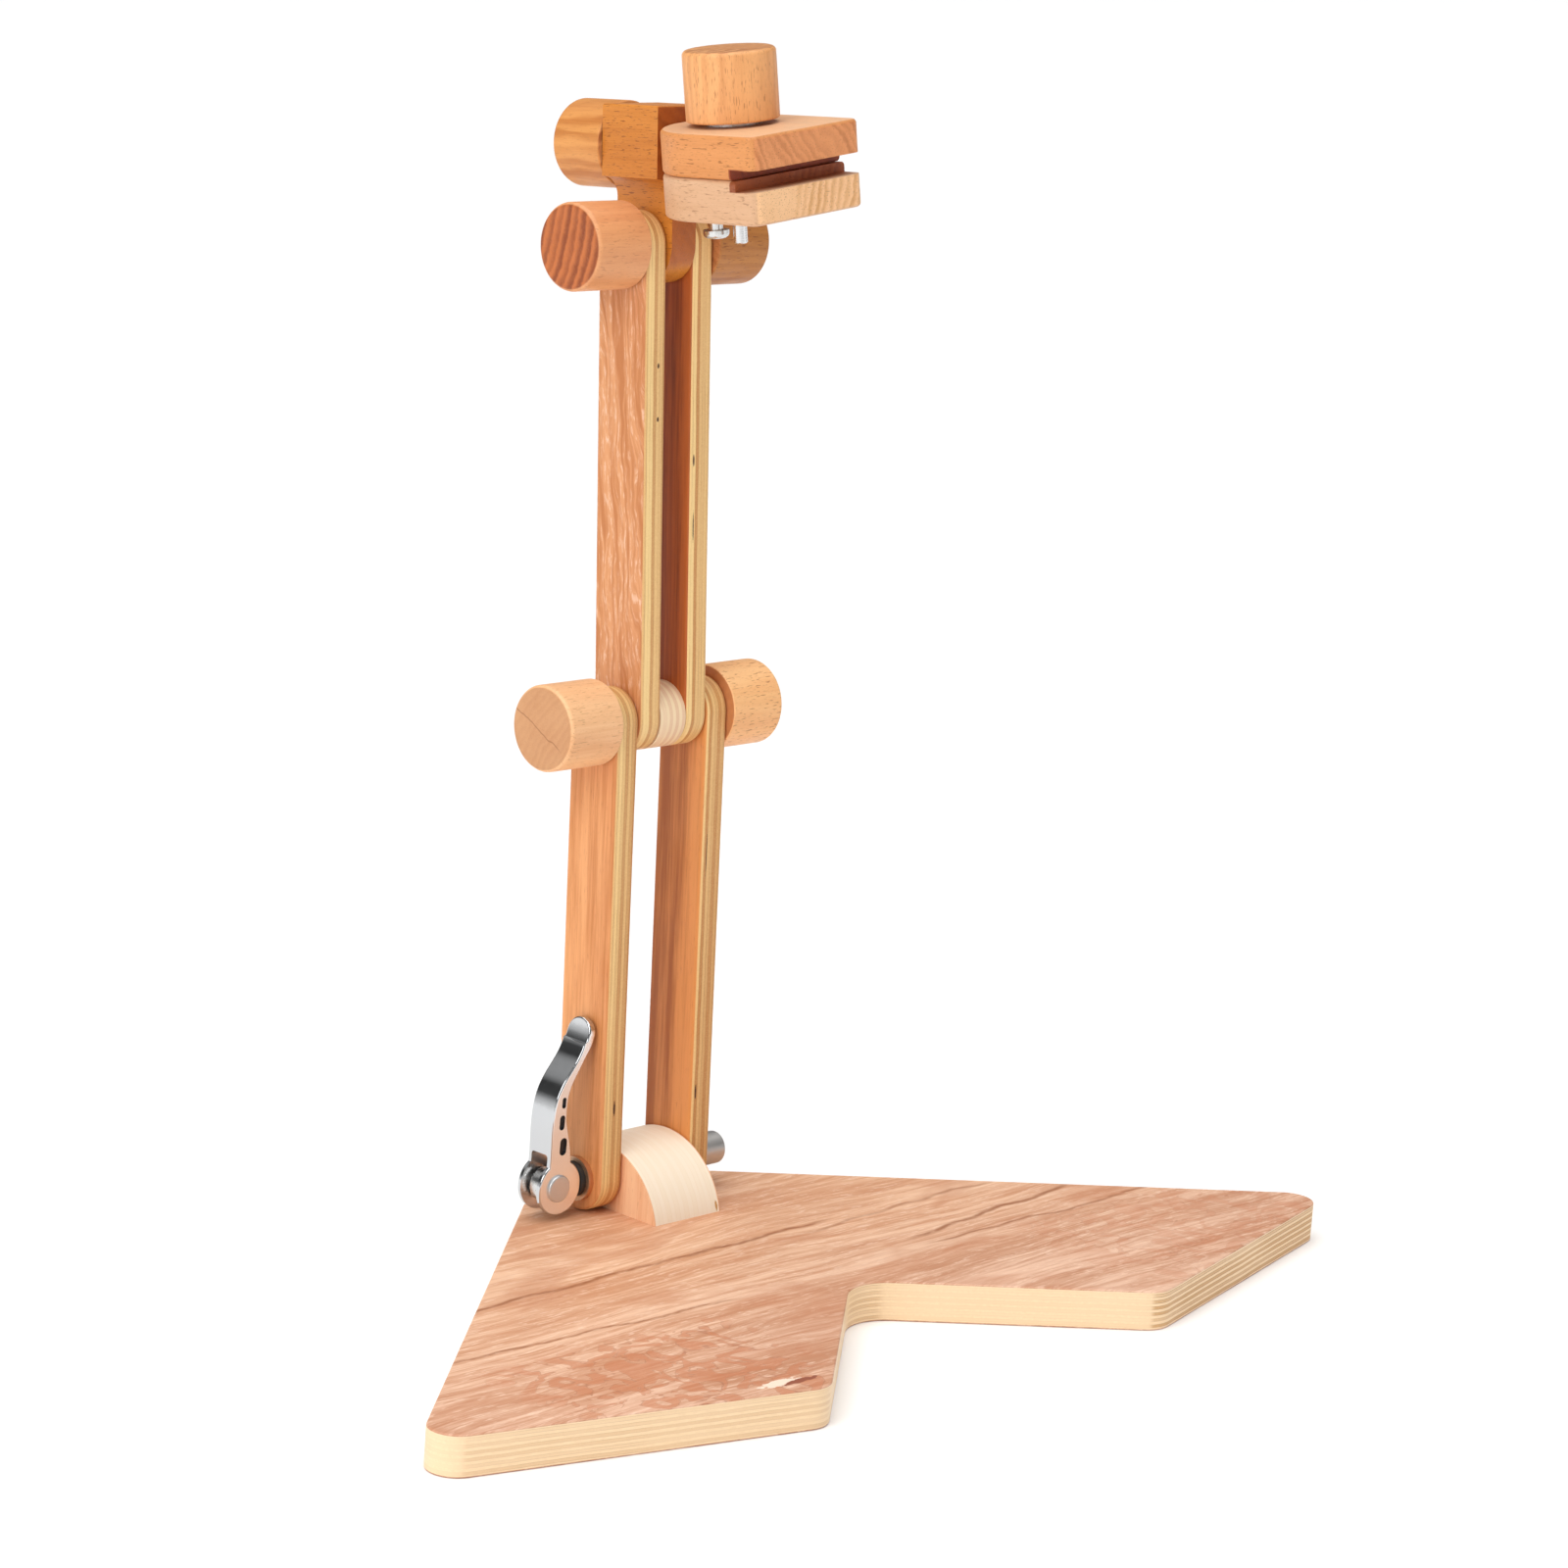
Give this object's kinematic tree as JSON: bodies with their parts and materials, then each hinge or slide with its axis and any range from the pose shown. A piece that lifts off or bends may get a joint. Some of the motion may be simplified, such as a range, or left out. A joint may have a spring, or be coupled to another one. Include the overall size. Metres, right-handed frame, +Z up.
{
  "type": "embroidery hoop stand",
  "caption": "Sit-on wooden stand with a boomerang plywood base, two pairs of pivoting arms and a swivelling two-jaw clamp for an embroidery hoop.",
  "frame": {"origin": "on the underside of the base board, directly below the base hinge axis", "axes": "+Z up, -Y towards the sitter and the notch in the base, +X along the base hinge towards the skewer nut; the lever is on the -X side"},
  "size_m": [0.54, 0.2982, 0.5342],
  "materials": {
    "ply_base": "satin",
    "block_wood": "satin",
    "arm_wood": "satin",
    "spacer_wood": "matte",
    "knob_wood": "satin",
    "neck_wood": "satin",
    "jaw_wood": "satin",
    "chrome": "polished",
    "nut_aluminium": "satin",
    "zinc_steel": "satin",
    "black_plastic": "matte",
    "brass": "satin",
    "fibre": "matte"
  },
  "bodies": {
    "base": {"base_board": "ply_base", "pivot_block": "block_wood", "pivot_block_screws": "zinc_steel"},
    "lower_arms": {"lower_arm_left": "arm_wood", "lower_arm_right": "arm_wood", "pivot_washers": "fibre", "elbow_knob_washers": "zinc_steel", "skewer_rod": "zinc_steel", "skewer_saddle": "black_plastic", "skewer_saddle_washer": "zinc_steel"},
    "lever": {"cam_lever": "chrome", "lever_pin": "chrome"},
    "skewer_nut": {"skewer_nut": "nut_aluminium"},
    "upper_arms": {"upper_arm_left": "arm_wood", "upper_arm_right": "arm_wood", "elbow_spacer": "spacer_wood", "elbow_washers": "fibre", "elbow_rod": "zinc_steel", "neck_rod": "zinc_steel", "neck_knob_washers": "zinc_steel"},
    "elbow_knob_left": {"elbow_knob_left": "knob_wood", "elbow_knob_insert_left": "brass"},
    "elbow_knob_right": {"elbow_knob_right": "knob_wood", "elbow_knob_insert_right": "brass"},
    "neck_knob_left": {"neck_knob_left": "knob_wood", "neck_knob_insert_left": "brass"},
    "neck_knob_right": {"neck_knob_right": "knob_wood", "neck_knob_insert_right": "brass"},
    "neck": {"neck_block": "neck_wood", "neck_washers": "fibre", "swivel_knob_washer": "zinc_steel"},
    "clamp": {"upper_jaw": "jaw_wood", "swivel_rod": "zinc_steel", "swivel_insert": "brass", "swivel_washer": "fibre", "guide_bolt": "zinc_steel"},
    "swivel_knob": {"swivel_knob": "knob_wood", "swivel_knob_insert": "brass"},
    "clamp_knob": {"clamp_knob": "knob_wood", "clamp_bolt": "zinc_steel", "clamp_washer": "zinc_steel"},
    "lower_jaw": {"lower_jaw": "jaw_wood", "lower_jaw_insert": "brass"}
  },
  "joints": [
    {"name": "base_hinge", "type": "hinge", "parent": "base", "child": "lower_arms", "pos_m": [0, 0, 0.0331], "axis": [1, 0, 0], "range_deg": [-75, 75]},
    {"name": "elbow_hinge", "type": "hinge", "parent": "lower_arms", "child": "upper_arms", "pos_m": [0, 0.00754, 0.23876], "axis": [-1, 0, 0], "range_deg": [-110, 110]},
    {"name": "neck_tilt", "type": "hinge", "parent": "upper_arms", "child": "neck", "pos_m": [0, 0.02261, 0.44401], "axis": [-1, 0, 0], "range_deg": [-60, 75]},
    {"name": "head_swivel", "type": "hinge", "parent": "neck", "child": "clamp", "pos_m": [0, 0.02566, 0.4855], "axis": [0, 0.9973, -0.0732], "continuous": true},
    {"name": "lever_swing", "type": "hinge", "parent": "lower_arms", "child": "lever", "pos_m": [-0.0522, 0, 0.0331], "axis": [0, -1, 0], "range_deg": [0, 90]},
    {"name": "skewer_nut_turn", "type": "hinge", "parent": "lower_arms", "child": "skewer_nut", "pos_m": [0.043, 0, 0.0331], "axis": [1, 0, 0], "range_deg": [0, 720]},
    {"name": "elbow_knob_left_turn", "type": "hinge", "parent": "upper_arms", "child": "elbow_knob_left", "pos_m": [0, 0.00754, 0.23876], "axis": [-1, 0, 0], "range_deg": [0, 720]},
    {"name": "elbow_knob_right_turn", "type": "hinge", "parent": "upper_arms", "child": "elbow_knob_right", "pos_m": [0, 0.00754, 0.23876], "axis": [1, 0, 0], "range_deg": [0, 720]},
    {"name": "neck_knob_left_turn", "type": "hinge", "parent": "upper_arms", "child": "neck_knob_left", "pos_m": [0, 0.02261, 0.44401], "axis": [-1, 0, 0], "range_deg": [0, 720]},
    {"name": "neck_knob_right_turn", "type": "hinge", "parent": "upper_arms", "child": "neck_knob_right", "pos_m": [0, 0.02261, 0.44401], "axis": [1, 0, 0], "range_deg": [0, 720]},
    {"name": "swivel_knob_turn", "type": "hinge", "parent": "clamp", "child": "swivel_knob", "pos_m": [0, 0.02566, 0.4855], "axis": [0, 0.9973, -0.0732], "range_deg": [0, 720]},
    {"name": "clamp_knob_turn", "type": "hinge", "parent": "clamp", "child": "clamp_knob", "pos_m": [0, -0.02141, 0.48895], "axis": [-0.1132, 0.0728, 0.9909], "range_deg": [0, 2790]},
    {"name": "lower_jaw_slide", "type": "slide", "parent": "clamp", "child": "lower_jaw", "axis": [0.1132, -0.0728, -0.9909], "range_m": [0, 0.00776]}
  ],
  "couplings": [
    {"joint": "lower_jaw_slide", "follows": "clamp_knob_turn", "m_per_rad": 0.00015915}
  ]
}
